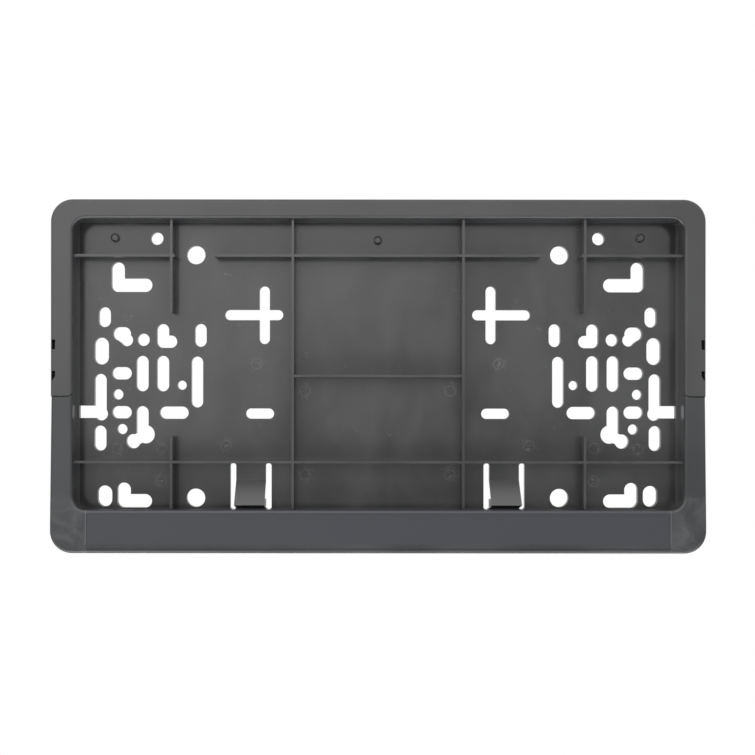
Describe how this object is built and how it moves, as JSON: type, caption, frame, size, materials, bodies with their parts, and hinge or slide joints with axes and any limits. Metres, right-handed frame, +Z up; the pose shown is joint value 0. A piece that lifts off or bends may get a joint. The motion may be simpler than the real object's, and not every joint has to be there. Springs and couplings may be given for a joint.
{
  "type": "number plate holder",
  "caption": "Holder for an oblong car number plate: a ribbed back plate full of fixing slots, and a clip-on frame parted across its sides.",
  "frame": {"origin": "middle of the flat rear face of the back plate, which lies on the car; it is also the middle of the holder's width and height", "axes": "+X to the right as seen from the front, +Y to the rear, into the car, +Z up; the plate faces -Y"},
  "size_m": [0.3124, 0.014, 0.1686],
  "materials": {
    "back_plate_plastic": "moulded black polypropylene, smooth with faint flow marks",
    "frame_plastic": "moulded dark grey polypropylene with a satin face"
  },
  "bodies": {
    "root": {"back_plate": "back_plate_plastic", "upper_frame": "frame_plastic", "lower_frame": "frame_plastic"}
  },
  "joints": []
}
